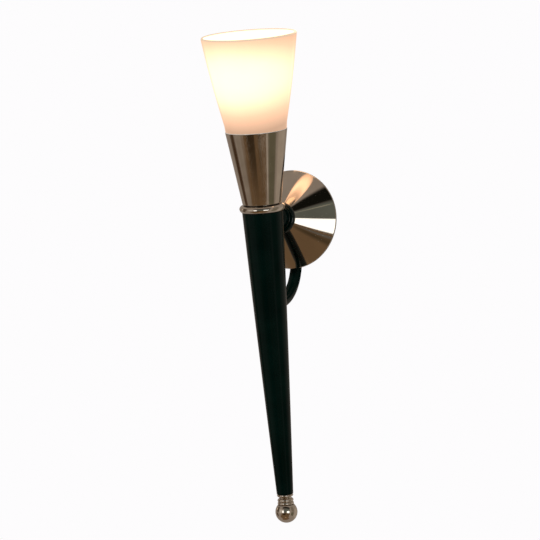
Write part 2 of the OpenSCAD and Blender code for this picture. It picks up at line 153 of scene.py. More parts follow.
# Finishes. Colours run from the darker to the lighter of two hex values in patches of "patchMm".
# "grainMm" and "grainDepthMm" are the surface's own relief, and "lineMm" is the spacing of turning
# lines, which take the grain's place.
finishes = {
    # stoved black lacquer on spun steel: deep gloss, a green cast, a faint orange peel
    "blackLacquer": {"colours": ("#000c09", "#01120e"), "patchMm": 30, "metallic": 0, "ior": 1.5,
                     "specular": 0.1, "roughness": (0.12, 0.2), "grainMm": 1.6,
                     "grainDepthMm": 0.004},
    # the same lacquer on the turned collar, polished brighter
    "blackCollar": {"colours": ("#000c09", "#01120e"), "patchMm": 12, "metallic": 0, "ior": 1.5,
                    "specular": 0.4, "roughness": (0.08, 0.15), "grainMm": 1.6,
                    "grainDepthMm": 0.002},
    # nickel plate buffed on the lathe: mirror-like, with hair-fine rings that draw reflections
    # out along the axis, and a dark brown painted shade in its grooves
    "polishedNickel": {"colours": ("#cfc6ba", "#d8d0c4"), "patchMm": 25, "metallic": 1,
                       "drawn": 0.5, "roughness": (0.045, 0.08), "lineMm": 0.9,
                       "grainDepthMm": 0.0012, "paintedGrooveShade": "#1c1209"},
    # nickel plate left from a fine abrasive on the lathe: reflections are drawn out further,
    # with the same dark brown painted shade in its grooves
    "satinNickel": {"colours": ("#c4b9ab", "#d0c6b8"), "patchMm": 18, "metallic": 1,
                    "drawn": 0.85, "roughness": (0.11, 0.16), "lineMm": 0.9,
                    "grainDepthMm": 0.0025, "paintedGrooveShade": "#1c1209"},
    # zinc-plated steel: bluish silver with cloudy passivation
    "zincSteel": {"colours": ("#a4a8ab", "#c3c5c4"), "patchMm": 6, "metallic": 1,
                  "roughness": (0.25, 0.42), "grainMm": 0.8, "grainDepthMm": 0.003},
    # turned brass, left bright
    "turnedBrass": {"colours": ("#b8923f", "#d0ad5c"), "patchMm": 8, "metallic": 1,
                    "roughness": (0.18, 0.32), "lineMm": 0.8, "grainDepthMm": 0.003},
    # glazed steatite: wet-looking glaze over a slightly uneven body
    "glazedPorcelain": {"colours": ("#e2ddcf", "#eeeadf"), "patchMm": 9, "metallic": 0,
                        "ior": 1.5, "roughness": (0.08, 0.2), "grainMm": 3,
                        "grainDepthMm": 0.01},
    # green lacquered screw head
    "earthGreen": {"colours": ("#1f5a2c", "#2a6d37"), "patchMm": 3, "metallic": 0, "ior": 1.5,
                   "roughness": (0.25, 0.4), "grainMm": 0.6, "grainDepthMm": 0.003},
    # moulded silicone ring, dusty matt
    "mouldedSilicone": {"colours": ("#d3d2cc", "#e0dfda"), "patchMm": 4, "metallic": 0,
                        "ior": 1.41, "roughness": (0.55, 0.7), "grainMm": 0.5,
                        "grainDepthMm": 0.004},
    # pressed black glass between cap and contact
    "blackVitrite": {"colours": ("#0b0b0c", "#141315"), "patchMm": 4, "metallic": 0, "ior": 1.55,
                     "roughness": (0.1, 0.25), "grainMm": 1.2, "grainDepthMm": 0.006},
    # extruded wire covers
    "brownWire": {"colours": ("#4a2a17", "#5a351e"), "patchMm": 5, "metallic": 0, "ior": 1.52,
                  "roughness": (0.35, 0.5), "grainMm": 0.7, "grainDepthMm": 0.003},
    "blueWire": {"colours": ("#1c3a86", "#25469a"), "patchMm": 5, "metallic": 0, "ior": 1.52,
                 "roughness": (0.35, 0.5), "grainMm": 0.7, "grainDepthMm": 0.003},
}
# Shared by all finishes: the span of noise over which the two colours mix, the span of patch plus
# grain over which the gloss changes, and how near and how closed a groove is to take painted shade
finishRules = {"colourSpan": (0.35, 0.65), "patchDetail": 4, "grainDetail": 3,
               "grainRoughness": 0.6, "wearSpan": (0.7, 1.3), "grooveReach": 0.003,
               "grooveSamples": 8, "grooveSpan": (0.25, 0.6)}


def startMaterial(name, axis):
    # "local" is a place measured from the axis the piece was turned on
    material = bpy.data.materials.new(name)
    material.use_nodes = True
    tree = material.node_tree
    where = addNode(tree, "ShaderNodeTexCoord").outputs["Object"]
    settings = {"vector_type": "TEXTURE", "Location": axes[axis]["location"],
                "Rotation": axes[axis]["turn"]}
    local = addNode(tree, "ShaderNodeMapping", settings, {"Vector": where}).outputs[0]
    return material, tree, tree.nodes["Principled BSDF"], local


def addRelief(tree, shader, height, depthMm):
    relief = addNode(tree, "ShaderNodeBump", {"Strength": 1, "Distance": depthMm / 1000},
                     {"Height": height})
    tree.links.new(relief.outputs["Normal"], shader.inputs["Normal"])


def makeFinish(name, axis):
    look, rules = finishes[name], finishRules
    material, tree, shader, local = startMaterial(f"{name}.{axis}", axis)
    sockets = {"Metallic": "metallic", "IOR": "ior", "Specular IOR Level": "specular",
               "Anisotropic": "drawn"}
    for socket, key in sockets.items():
        if key in look:
            shader.inputs[socket].default_value = look[key]
    patches = noise(tree, local, look["patchMm"], rules["patchDetail"])
    base = ramp(tree, patches, [(place, linear(colour)) for place, colour
                                in zip(rules["colourSpan"], look["colours"])])
    if "paintedGrooveShade" in look:
        # painted shade: grooves that ambient occlusion finds closed in are darkened towards a dark
        # brown
        settings = {"Distance": rules["grooveReach"], "samples": rules["grooveSamples"]}
        opened = addNode(tree, "ShaderNodeAmbientOcclusion", settings).outputs["AO"]
        unshadedShare = mapSpan(tree, opened, rules["grooveSpan"])
        base = mixColours(tree, unshadedShare, {6: linear(look["paintedGrooveShade"])}, {7: base})
    tree.links.new(base, shader.inputs["Base Color"])
    if "drawn" in look:
        # the turning lines run round the axis, so the reflection is drawn out along it
        along = joinVector(tree, dict(zip("XYZ", axes[axis]["along"])))
        tree.links.new(along, shader.inputs["Tangent"])
    if "lineMm" in look:
        # rings round the axis: only height and radius drive the pattern
        split = splitVector(tree, local)
        flat = joinVector(tree, {}, {"X": split["X"], "Y": split["Y"]})
        radius = vectorMaths(tree, "LENGTH", {}, {0: flat})["Value"]
        grainPlace = joinVector(tree, {}, {"X": radius, "Y": split["Z"]})
        grainSize = look["lineMm"]
    else:
        grainPlace, grainSize = local, look["grainMm"]
    grain = noise(tree, grainPlace, grainSize, rules["grainDetail"],
                  Roughness=rules["grainRoughness"])
    rough = mapSpan(tree, maths(tree, "ADD", patches, grain), rules["wearSpan"],
                    look["roughness"])
    tree.links.new(rough, shader.inputs["Roughness"])
    addRelief(tree, shader, grain, look["grainDepthMm"])
    return material


materials = {}


def finishOn(name, axis="torch"):
    if (name, axis) not in materials:
        materials[name, axis] = makeFinish(name, axis)
    return materials[name, axis]


# Opal glass: a white core cased in clear glass, with the light of the lamp inside painted on as
# emission. The painted light falls off round a point near the lamp, a little towards the front, and
# is warmest where it is weakest. "levels" are shares of the full colour from the farthest place to
# the nearest. Heights are along the torch.
opalGlow = {"centreMm": (0, -9.4, 178), "nearMm": 40, "reachMm": 66, "warm": "#ffc79f",
            "levels": ((0, 0.24), (0.28, 0.36), (0.5, 0.47), (0.7, 0.66), (0.85, 0.88),
                       (0.97, 1.0)),
            "strength": 2.4, "body": "#5d5a54", "ior": 1.5, "roughness": (0.3, 0.4),
            "cloudMm": 34, "cloudDetail": 3, "cloud": 0.06, "rippleMm": 7,
            "rippleDepthMm": 0.03,
            # the wall throws light back on the rear of the glass, up to this share at this depth
            "rear": 0.27, "rearMm": 30,
            # the lip, and the glass seen edge-on, pass less of the light
            "edge": "#e0ab86", "edgeShare": 0.42, "edgeSpan": (0.72, 0.98), "edgeMost": 0.8,
            "rim": "#e6c8a8", "rimShare": 0.36, "rimMm": (216.7, 218.5),
            # the inside starts from half the full colour, and is brightest towards the rim, where
            # it throws its own light back on itself
            "insideLift": 0.5, "insideMm": (160, 196), "inside": (0.6, 1.5)}


def makeOpal(name, inside):
    look = opalGlow
    material, tree, shader, local = startMaterial(name, "torch")
    away = vectorMaths(tree, "SUBTRACT", {1: metres(look["centreMm"])}, {0: local})[0]
    square = vectorMaths(tree, "DOT_PRODUCT", {}, {0: away, 1: away})["Value"]
    near, reach = metres((look["nearMm"], look["reachMm"]))
    level = mapSpan(tree, square, (near ** 2, near ** 2 + reach ** 2), (1, 0))
    cloud = noise(tree, local, look["cloudMm"], look["cloudDetail"])
    mottled = maths(tree, "MULTIPLY_ADD", cloud, look["cloud"], -look["cloud"] / 2)
    split = splitVector(tree, local)
    rear = mapSpan(tree, split["Y"], metres((0, look["rearMm"])), (0, look["rear"]))
    level = maths(tree, "ADD", maths(tree, "ADD", level, mottled), rear)
    lift = look["insideLift"] if inside else 0
    glow = ramp(tree, level, [(place, linear(look["warm"], lift + (1 - lift) * share))
                              for place, share in look["levels"]])
    strength = look["strength"]
    if inside:
        dull, bright = look["inside"]
        share = mapSpan(tree, split["Z"], metres(look["insideMm"]), (dull / bright, 1))
        glow = vectorMaths(tree, "SCALE", {}, {0: glow, "Scale": share})[0]
        strength *= bright
    else:
        facing = addNode(tree, "ShaderNodeLayerWeight", {"Blend": 0.5}).outputs["Facing"]
        edge = mapSpan(tree, facing, look["edgeSpan"], (0, look["edgeMost"]))
        glow = mixColours(tree, edge, {7: linear(look["edge"], look["edgeShare"])}, {6: glow})
        lip = mapSpan(tree, split["Z"], metres(look["rimMm"]))
        glow = mixColours(tree, lip, {7: linear(look["rim"], look["rimShare"])}, {6: glow})
    tree.links.new(glow, shader.inputs["Emission Color"])
    shader.inputs["Emission Strength"].default_value = strength
    shader.inputs["Base Color"].default_value = linear(look["body"])
    shader.inputs["IOR"].default_value = look["ior"]
    ripple = noise(tree, local, look["rippleMm"])
    addRelief(tree, shader, ripple, look["rippleDepthMm"])
    rough = mapSpan(tree, ripple, (0, 1), look["roughness"])
    tree.links.new(rough, shader.inputs["Roughness"])
    return material


# Frosted bulb: evenly lit, a little brighter at its widest part than at its foot
lampGlow = {"heightMm": (105, 150), "colours": ("#e8b98c", "#fff1dc"), "strength": 1.3,
            "body": "#dcd8d0", "frostMm": 1.2, "roughness": (0.35, 0.55)}


def makeLampOpal():
    look = lampGlow
    material, tree, shader, local = startMaterial("lampOpal", "torch")
    height = mapSpan(tree, splitVector(tree, local)["Z"], metres(look["heightMm"]))
    glow = ramp(tree, height, [(i, linear(colour)) for i, colour in enumerate(look["colours"])])
    tree.links.new(glow, shader.inputs["Emission Color"])
    shader.inputs["Emission Strength"].default_value = look["strength"]
    shader.inputs["Base Color"].default_value = linear(look["body"])
    rough = mapSpan(tree, noise(tree, local, look["frostMm"]), (0, 1), look["roughness"])
    tree.links.new(rough, shader.inputs["Roughness"])
    return material


print("finishes ready")


# Turned work. A profile is a list of (radius, height, softening) corners in mm, in the axis's own
# frame, and runs round the section.
def softened(corners, steps=5):
    # a rounding takes no more than this share of the edges beside it
    most = 0.45
    made = []
    for index, corner in enumerate(corners):
        point, soft = Vector(corner[:2]), corner[2] if len(corner) > 2 else 0
        if soft <= 0:
            made.append(tuple(point))
            continue
        before = Vector(corners[index - 1][:2]) - point
        after = Vector(corners[(index + 1) % len(corners)][:2]) - point
        reach = min(soft, before.length * most, after.length * most)
        start, end = point + before.normalized() * reach, point + after.normalized() * reach
        for step in range(steps + 1):
            t = step / steps
            made.append(tuple(start * (1 - t) ** 2 + point * 2 * t * (1 - t) + end * t ** 2))
    return made


def arc(x, y, radius, start, end, steps):
    turns = [math.radians(start + (end - start) * i / steps) for i in range(steps + 1)]
    return [(x + radius * math.cos(t), y + radius * math.sin(t)) for t in turns]


def raised(corners, by):
    return [(corner[0], by + corner[1], *corner[2:]) for corner in corners]


def finishMesh(obj, sharpDegrees=32):
    # smooth faces, with a crisp edge wherever two of them meet at more than the angle given
    mesh = obj.data
    work = bmesh.new()
    work.from_mesh(mesh)
    for face in work.faces:
        face.smooth = True
    limit = math.radians(sharpDegrees)
    for edge in work.edges:
        edge.smooth = len(edge.link_faces) == 2 and edge.calc_face_angle(0) < limit
    work.to_mesh(mesh)
    work.free()
    mesh.update()


def turned(name, profile, axis, steps=176):
    # a point this near to the axis, in mm, is one vertex on it
    onAxis = 1e-5
    work = bmesh.new()
    rings = []
    for radius, height in profile:
        count = 1 if radius < onAxis else steps
        reach = 0 if count == 1 else radius
        rings.append([work.verts.new((reach * math.cos(math.tau * i / steps) / 1000,
                                      reach * math.sin(math.tau * i / steps) / 1000,
                                      height / 1000)) for i in range(count)])
    for ring, after in zip(rings, rings[1:] + rings[:1]):
        if len(ring) == 1 and len(after) == 1:
            continue
        for i in range(steps):
            corners = [ring[i % len(ring)], ring[(i + 1) % len(ring)],
                       after[(i + 1) % len(after)], after[i % len(after)]]
            work.faces.new(list(dict.fromkeys(corners)))
    bmesh.ops.recalc_face_normals(work, faces=work.faces)
    work.transform(axes[axis]["place"])
    mesh = bpy.data.meshes.new(name)
    work.to_mesh(mesh)
    work.free()
    obj = bpy.data.objects.new(name, mesh)
    bpy.context.collection.objects.link(obj)
    finishMesh(obj)
    return obj


def fit(obj, body, nodes, slot, *finish):
    for material in finish:
        obj.data.materials.append(material)
    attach(obj, body)
    if nodes:
        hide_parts(*nodes)


# Geometry Nodes: one tree turns a rule into a tube skin, another runs a tube along bent edges
def newTree(name, sockets):
    tree = bpy.data.node_groups.new(name, "GeometryNodeTree")
    tree.interface.new_socket("Geometry", in_out="INPUT", socket_type="NodeSocketGeometry")
    for label, (kind, value) in sockets.items():
        socket = tree.interface.new_socket(label, in_out="INPUT", socket_type=kind)
        if value is not None:
            socket.default_value = value
    tree.interface.new_socket("Geometry", in_out="OUTPUT", socket_type="NodeSocketGeometry")
    return tree, addNode(tree, "NodeGroupInput").outputs, addNode(tree, "NodeGroupOutput")


def endTree(tree, given, result, geometry):
    smooth = addNode(tree, "GeometryNodeSetShadeSmooth", {}, {"Geometry": geometry}).outputs[0]
    real = addNode(tree, "GeometryNodeRealizeInstances", {}, {"Geometry": smooth}).outputs[0]
    made = addNode(tree, "GeometryNodeSetMaterial", {},
                   {"Geometry": real, "Material": given["Finish"]}).outputs[0]
    tree.links.new(made, result.inputs["Geometry"])
    return tree


def makeRuledSkinTree():
    # the radius follows taper, swell and, for threads, a wave that climbs one pitch in each turn
    tree, given, result = newTree("ruledSkin", {
        "From": ("NodeSocketFloat", 0.0), "Length": ("NodeSocketFloat", 0.1),
        "Radius": ("NodeSocketFloat", 0.02), "Taper": ("NodeSocketFloat", 0.0),
        "Swell": ("NodeSocketFloat", 0.0), "Thread Depth": ("NodeSocketFloat", 0.0),
        "Pitch": ("NodeSocketFloat", 0.001), "Rings": ("NodeSocketInt", 64),
        "Sides": ("NodeSocketInt", 128), "Finish": ("NodeSocketMaterial", None)})

    def sums(operation, *parts):
        return maths(tree, operation, *parts)

    # a grid one unit wide: X becomes the turn round the axis, Y the way along it
    grid = addNode(tree, "GeometryNodeMeshGrid", {"Size X": 1.0, "Size Y": 1.0},
                   {"Vertices X": sums("ADD", given["Sides"], 1),
                    "Vertices Y": sums("ADD", given["Rings"], 1)})
    split = splitVector(tree, addNode(tree, "GeometryNodeInputPosition").outputs[0])
    angle = sums("MULTIPLY", split["X"], math.tau)
    height = sums("MULTIPLY_ADD", sums("ADD", split["Y"], 0.5), given["Length"], given["From"])
    straight = sums("MULTIPLY_ADD", height, given["Taper"], given["Radius"])
    swell = sums("MULTIPLY", sums("MULTIPLY", height, height), given["Swell"])
    turns = sums("DIVIDE", height, given["Pitch"])
    climb = sums("SUBTRACT", sums("MULTIPLY", turns, math.tau), angle)
    wave = sums("MULTIPLY", sums("COSINE", climb), given["Thread Depth"])
    radius = sums("ADD", sums("SUBTRACT", straight, swell), wave)
    spot = joinVector(tree, {}, {"X": sums("MULTIPLY", radius, sums("COSINE", angle)),
                                 "Y": sums("MULTIPLY", radius, sums("SINE", angle)),
                                 "Z": height})
    bent = addNode(tree, "GeometryNodeSetPosition", {},
                   {"Geometry": grid.outputs["Mesh"], "Position": spot}).outputs[0]
    # the two edges of the grid meet on the far side of the turn and are welded
    weld = 1e-6
    closed = addNode(tree, "GeometryNodeMergeByDistance", {"Distance": weld}, {"Geometry": bent})
    return endTree(tree, given, result, closed.outputs[0])


def makeBentTubeTree():
    # a tube round the edges it is given, with its corners rounded to the bend radius
    tree, given, result = newTree("bentTube", {
        "Bend Radius": ("NodeSocketFloat", 0.05), "Tube Radius": ("NodeSocketFloat", 0.007),
        "Bend Steps": ("NodeSocketInt", 40), "Sides": ("NodeSocketInt", 64),
        "Finish": ("NodeSocketMaterial", None)})
    path = addNode(tree, "GeometryNodeMeshToCurve", {}, {"Mesh": given["Geometry"]}).outputs[0]
    rounded = addNode(tree, "GeometryNodeFilletCurve", {"mode": "POLY"},
                      {"Curve": path, "Count": given["Bend Steps"],
                       "Radius": given["Bend Radius"]}).outputs[0]
    ring = addNode(tree, "GeometryNodeCurvePrimitiveCircle", {},
                   {"Resolution": given["Sides"], "Radius": given["Tube Radius"]})
    tube = addNode(tree, "GeometryNodeCurveToMesh", {},
                   {"Curve": rounded, "Profile Curve": ring.outputs["Curve"]}).outputs[0]
    return endTree(tree, given, result, tube)


ruledSkin, bentTube = makeRuledSkinTree(), makeBentTubeTree()


def keepEvaluated(obj):
    # the modifier's result becomes the plain mesh
    graph = bpy.context.evaluated_depsgraph_get()
    made = bpy.data.meshes.new_from_object(obj.evaluated_get(graph))
    obj.modifiers.clear()
    obj.data = made
    return made


def grow(name, tree, values, axis=None, points=(), edges=()):
    # runs a tree over the edges given and keeps its result
    mesh = bpy.data.meshes.new(name)
    mesh.from_pydata(points, edges, [])
    obj = bpy.data.objects.new(name, mesh)
    bpy.context.collection.objects.link(obj)
    modifier = obj.modifiers.new("grow", "NODES")
    modifier.node_group = tree
    for item in tree.interface.items_tree:
        if item.in_out == "INPUT" and item.name in values:
            modifier[item.identifier] = values[item.name]
    made = keepEvaluated(obj)
    if axis:
        made.transform(axes[axis]["place"])
    work = bmesh.new()
    work.from_mesh(made)
    bmesh.ops.recalc_face_normals(work, faces=work.faces)
    work.to_mesh(made)
    work.free()
    made.name = name
    return obj


def giveWall(obj, wallMm):
    thick = obj.modifiers.new("wall", "SOLIDIFY")
    thick.thickness, thick.offset, thick.use_even_offset = wallMm / 1000, -1, True
    keepEvaluated(obj)
    finishMesh(obj)
    return obj


# Shaft: a tapered tube with a slight swell, in mm along the torch axis
shaft = {"radius": 24.48, "taper": 0.0372, "swell": 0.0000155, "from": -340.5, "length": 346,
         "wall": 2, "rings": 120, "sides": 176}


def shaftRadius(height):
    return shaft["radius"] + shaft["taper"] * height - shaft["swell"] * height * height


def seatOnShaft(obj, beyondMm, rounds=12):
    # slides the vertices nearer the room than "beyondMm" straight back or forth onto the shaft's
    # rear skin; each round corrects the height that the slide has changed
    sine, cosine = math.sin(torchLean), math.cos(torchLean)
    start = 1000 * axes["torch"]["location"][1]
    for vertex in obj.data.vertices:
        x, y, z = (1000 * c for c in vertex.co)
        if y > beyondMm:
            continue
        for _ in range(rounds):
            height = -(y - start) * sine + z * cosine
            depth = math.sqrt(shaftRadius(height) ** 2 - x * x)
            y = (depth - z * sine) / cosine + start
        vertex.co.y = y / 1000


def makeShaft():
    values = {"From": shaft["from"] / 1000, "Length": shaft["length"] / 1000,
              "Radius": shaft["radius"] / 1000, "Taper": shaft["taper"],
              "Swell": shaft["swell"] * 1000, "Rings": shaft["rings"], "Sides": shaft["sides"],
              "Finish": finishOn("blackLacquer")}
    obj = giveWall(grow("shaftTube", ruledSkin, values, "torch"), shaft["wall"])
    fit(obj, "torch", ["shaft_tube"], "black_lacquer")


# Bead ring: a half-round edge over a short step, and a raised seat that the cup stands on
beadRing = {"bore": 5.1, "bottom": 5.5, "top": 15.5, "under": 23.9, "underSoft": 0.3,
            "underStep": 5.9, "centre": 10, "edge": 4.3, "outer": 27.6, "arc": (-80, 84, 30),
            "shoulder": ((22.9, 14.35), (21.6, 14.4), (21.1, 14.8)), "seat": 21.1}


def makeBeadRing():
    r = beadRing
    profile = softened([(r["bore"], r["bottom"]), (r["under"], r["bottom"], r["underSoft"]),
                        (r["under"], r["underStep"])])
    profile += arc(r["outer"] - r["edge"], r["centre"], r["edge"], *r["arc"])
    profile += [*r["shoulder"], (r["seat"], r["top"]), (r["bore"], r["top"])]
    obj = turned("beadRing", profile, "torch")
    fit(obj, "torch", ["bead_ring"], "polished_nickel", finishOn("polishedNickel"))


# Cup: a thin cone with a flat floor. "soft" rounds its foot, its two lips and the inside corner.
cup = {"footHeight": 15.5, "footRadius": 23.3, "topHeight": 104, "topRadius": 37.4, "wall": 1.2,
       "floor": 1.5, "bore": 5.1, "soft": (0.8, 0.5, 0.5, 0.6), "softSteps": 6}


def cupRadius(height):
    share = (height - cup["footHeight"]) / (cup["topHeight"] - cup["footHeight"])
    return cup["footRadius"] + share * (cup["topRadius"] - cup["footRadius"])


def makeCup():
    foot, top, wall, bore = (cup[k] for k in ("footHeight", "topHeight", "wall", "bore"))
    footSoft, outerSoft, innerSoft, floorSoft = cup["soft"]
    floor = foot + cup["floor"]
    corners = [(bore, foot), (cupRadius(foot), foot, footSoft), (cupRadius(top), top, outerSoft),
               (cupRadius(top) - wall, top, innerSoft),
               (cupRadius(foot + wall) - wall, floor, floorSoft), (bore, floor)]
    obj = turned("cupBody", softened(corners, cup["softSteps"]), "torch")
    fit(obj, "torch", ["cup"], "brushed_nickel", finishOn("satinNickel"))


# Shade: a cone with a slight swell. Its neck stands in the cup, its shoulder rests on the gasket,
# and its lip is fire-polished round. "straight" is where the drawn outside starts above the
# shoulder, "hollow" where the inside ends, and "inside" the heights between which the inside shows.
shade = {"shoulder": 104.4, "height": 115.2, "shoulderRadius": 36.8, "rimRadius": 57.9,
         "taper": 0.23, "swell": 0.00034, "wall": 3.2, "neckFoot": 94.4, "neckFootRadius": 34.1,
         "neckTopRadius": 35.65, "neckWall": 2.6, "soft": (0.8, 0.3, 0.7), "straight": 8,
         "hollow": 12, "rows": 24, "lipArc": (12, 168, 14), "inside": (0.0965, 0.2186),
         "sides": 224}


def shadeRadius(up):
    return (shade["rimRadius"] - shade["taper"] * (shade["height"] - up)
            + shade["swell"] * (shade["height"] ** 2 - up ** 2))


def makeShade():
    s = shade
    lip, foot, rows = s["wall"] / 2, s["shoulder"], s["rows"]
    top = s["height"] - lip
    footSoft, neckSoft, shoulderSoft = s["soft"]
    profile = softened([(s["neckFootRadius"] - s["neckWall"], s["neckFoot"]),
                        (s["neckFootRadius"], s["neckFoot"], footSoft),
                        (s["neckTopRadius"], foot, neckSoft),
                        (s["shoulderRadius"], foot, shoulderSoft),
                        (shadeRadius(s["straight"]), foot + s["straight"])])[:-1]
    outside = [s["straight"] + (top - s["straight"]) * i / rows for i in range(rows + 1)]
    inside = [top - (top - s["hollow"]) * i / rows for i in range(rows + 1)]
    profile += [(shadeRadius(up), foot + up) for up in outside]
    profile += arc(shadeRadius(top) - lip, foot + top, lip, *s["lipArc"])
    profile += [(shadeRadius(up) - s["wall"], foot + up) for up in inside]
    obj = turned("shadeGlass", profile, "torch", s["sides"])
    fit(obj, "shade", ["shade_glass"], "opal_glass", makeOpal("opalGlassLit", False),
        makeOpal("opalGlassInside", True))
    # faces that look towards the axis take the brighter inside, up to the lip
    axisBack = axes["torch"]["place"].inverted()
    turnBack = axisBack.to_3x3()
    low, high = s["inside"]
    for face in obj.data.polygons:
        centre, normal = axisBack @ face.center, turnBack @ face.normal
        if centre.x * normal.x + centre.y * normal.y < 0 and low < centre.z < high:
            face.material_index = 1


# Finial: from the shaft's foot down, a bead, a groove, two beads and a ball. Heights are below
# "top"; a bead is its centre's radius and height, its own radius, two angles and steps.
finial = {"top": -340.5, "bore": 3.05, "shoulder": 8.7, "groove": ((7.4, -4.4), (7.4, -5.6)),
          "beads": ((7.9, -1.9, 1.9, 60, -78, 20), (7.5, -8, 2.2, 80, -60, 20),
                    (7.7, -11.9, 2.2, 60, -50, 18)),
          "foot": (8.8, -13.9), "ball": 13.4, "ballCentre": -22.7, "ballSteps": 60,
          "boreEnd": 4, "sides": 128}


def makeFinial():
    f = finial
    upper, middle, lower = (arc(x, y, *rest) for x, y, *rest in f["beads"])
    profile = [(f["bore"], 0), (f["shoulder"], 0), *upper, *f["groove"], *middle, *lower,
               f["foot"], (f["bore"], f["foot"][1])]
    obj = turned("finialCollar", raised(profile, f["top"]), "torch", f["sides"])
    fit(obj, "torch", ["finial_collar"], "polished_nickel", finishOn("polishedNickel"))
    radius, centre, flat = f["ball"], f["top"] + f["ballCentre"], f["top"] + f["foot"][1]
    start = math.degrees(math.asin((flat - centre) / radius))
    end = centre - f["boreEnd"]
    profile = arc(0, centre, radius, -90, start, f["ballSteps"])
    profile += [(f["bore"], flat), (f["bore"], end), (0, end)]
    ball = turned("finialBall", profile, "torch", f["sides"])
    fit(ball, "torch", ["finial_ball"], "polished_nickel", finishOn("polishedNickel"))


# Canopy: a spun cone with a turned lip and a flat seat, and the black collar that hides its hole.
# "soft" rounds its back edges, its lip, its seat and the two corners inside.
canopy = {"rim": 60, "out": 25, "lip": 1.8, "height": 27.8, "seat": 18, "sheet": 1, "hole": 12.9,
          "soft": (0.3, 0.4, 1.0, 0.8, 0.6, 0.6), "seatInside": 0.3, "lipInside": 0.6,
          "softSteps": 7, "sides": 224}
collar = {"edge": 3.4, "outer": 19.5, "arc": (-90, 82, 30), "top": 7.5,
          "face": ((16.1, 6.8), (14.5, 6.9, 0.2), (14.05, 7.5, 0.3)), "sides": 160}
canopyFront = canopy["out"] + canopy["lip"] + canopy["height"]


def makeCanopy():
    c, front = canopy, canopyFront
    lipTop, sheetBack = c["out"] + c["lip"], front - c["sheet"]
    backInner, backOuter, lip, seat, seatInside, lipInside = c["soft"]
    corners = [(c["rim"] - c["sheet"], c["out"], backInner), (c["rim"], c["out"], backOuter),
               (c["rim"], lipTop, lip), (c["seat"], front, seat), (c["hole"], front),
               (c["hole"], sheetBack), (c["seat"] - c["seatInside"], sheetBack, seatInside),
               (c["rim"] - c["sheet"], lipTop - c["lipInside"], lipInside)]
    obj = turned("canopyCone", softened(corners, c["softSteps"]), "wall", c["sides"])
    fit(obj, "canopy", ["canopy_cone"], "polished_nickel", finishOn("polishedNickel", "wall"))


def makeCollar():
    k, hole = collar, canopy["hole"]
    profile = [(hole, 0)] + arc(k["outer"] - k["edge"], k["edge"], k["edge"], *k["arc"])
    profile += softened([*k["face"], (hole, k["top"])])[1:]
    obj = turned("canopyCollar", raised(profile, canopyFront), "wall", k["sides"])
    fit(obj, "canopy", ["canopy_collar"], "black_lacquer", finishOn("blackCollar", "wall"))


# Neck: plain inside the canopy, drawn in towards the shaft, its end cut to the shaft's cone.
# Places are distances out from the wall.
neck = {"bore": 5.05, "back": 31, "plain": 65, "drawn": 79, "tip": 98.8, "full": 12.85,
        "slim": 9.3, "soft": 0.5, "steps": 24, "sides": 128, "cutBeyond": -90}


def makeNeck():
    n = neck
    profile = softened([(n["bore"], n["back"]), (n["full"], n["back"], n["soft"]),
                        (n["full"], n["plain"])])[:-1]
    for step in range(n["steps"] + 1):
        t = step / n["steps"]
        ease = 3 * t * t - 2 * t ** 3
        profile.append((n["full"] + (n["slim"] - n["full"]) * ease,
                        n["plain"] + (n["drawn"] - n["plain"]) * t))
    profile += [(n["slim"], n["tip"]), (n["bore"], n["tip"])]
    obj = turned("stemNeck", profile, "wall", n["sides"])
    seatOnShaft(obj, n["cutBeyond"])
    finishMesh(obj)
    fit(obj, "torch", ["stem_neck"], "black_lacquer", finishOn("blackLacquer", "wall"))


# Bent arm: down behind the canopy, then forward to the back of the shaft, where its end is cut
arm = {"back": -10.05, "top": -14, "drop": -102.5, "tip": -75, "bend": 52.8, "radius": 7,
       "wall": 1.5, "bendSteps": 44, "sides": 72, "cutBeyond": -70}


def makeArm():
    values = {"Bend Radius": arm["bend"] / 1000, "Tube Radius": arm["radius"] / 1000,
              "Bend Steps": arm["bendSteps"], "Sides": arm["sides"],
              "Finish": finishOn("blackLacquer", "wall")}
    points = [metres((0, arm["back"], arm["top"])), metres((0, arm["back"], arm["drop"])),
              metres((0, arm["tip"], arm["drop"]))]
    obj = grow("armTube", bentTube, values, points=points, edges=[(0, 1), (1, 2)])
    giveWall(obj, arm["wall"])
    seatOnShaft(obj, arm["cutBeyond"])
    finishMesh(obj)
    fit(obj, "torch", ["arm_tube"], "black_lacquer")


# Lamp: a ball that runs into a rounded waist at "turnAt" degrees, and a screw cap made of a plain
# core that closes the ends and a thread skin
lamp = {"ball": 30, "centre": 153.05, "foot": 105.25, "neck": 12.6, "turnAt": -40, "ballFrom": -36,
        "waistSteps": 24, "ballSteps": 48, "sides": 128}
lampCap = {"ends": ((0, 83.2), (10, 83.2, 0.4), (11.9, 84.6, 0.4), (12.4, 85.4), (12.0, 86),
                    (0, 86)), "sides": 96, "wall": 0.3}
lampThread = {"From": 0.0848, "Length": 0.0204, "Radius": 0.01255, "Thread Depth": 0.00046,
              "Pitch": 0.0036, "Rings": 96, "Sides": 96}


def makeLamp():
    bend = math.cos(math.radians(lamp["turnAt"]))
    waist = (lamp["ball"] * bend - lamp["neck"]) / (1 - bend)
    profile = [(0, lamp["foot"])]
    profile += arc(lamp["neck"] + waist, lamp["foot"], waist, 180, 180 + lamp["turnAt"],
                   lamp["waistSteps"])
    profile += arc(0, lamp["centre"], lamp["ball"], lamp["ballFrom"], 90, lamp["ballSteps"])
    glass = turned("lampGlass", profile, "torch", lamp["sides"])
    fit(glass, "lamp", ["lamp_glass"], "lamp_opal", makeLampOpal())
    core = turned("lampCapEnds", softened(lampCap["ends"]), "torch", lampCap["sides"])
    fit(core, "lamp", [], "zinc_steel", finishOn("zincSteel"))
    values = {**lampThread, "Finish": finishOn("zincSteel")}
    thread = giveWall(grow("lampCapThread", ruledSkin, values, "torch"), lampCap["wall"])
    fit(thread, "lamp", ["lamp_cap"], "zinc_steel")


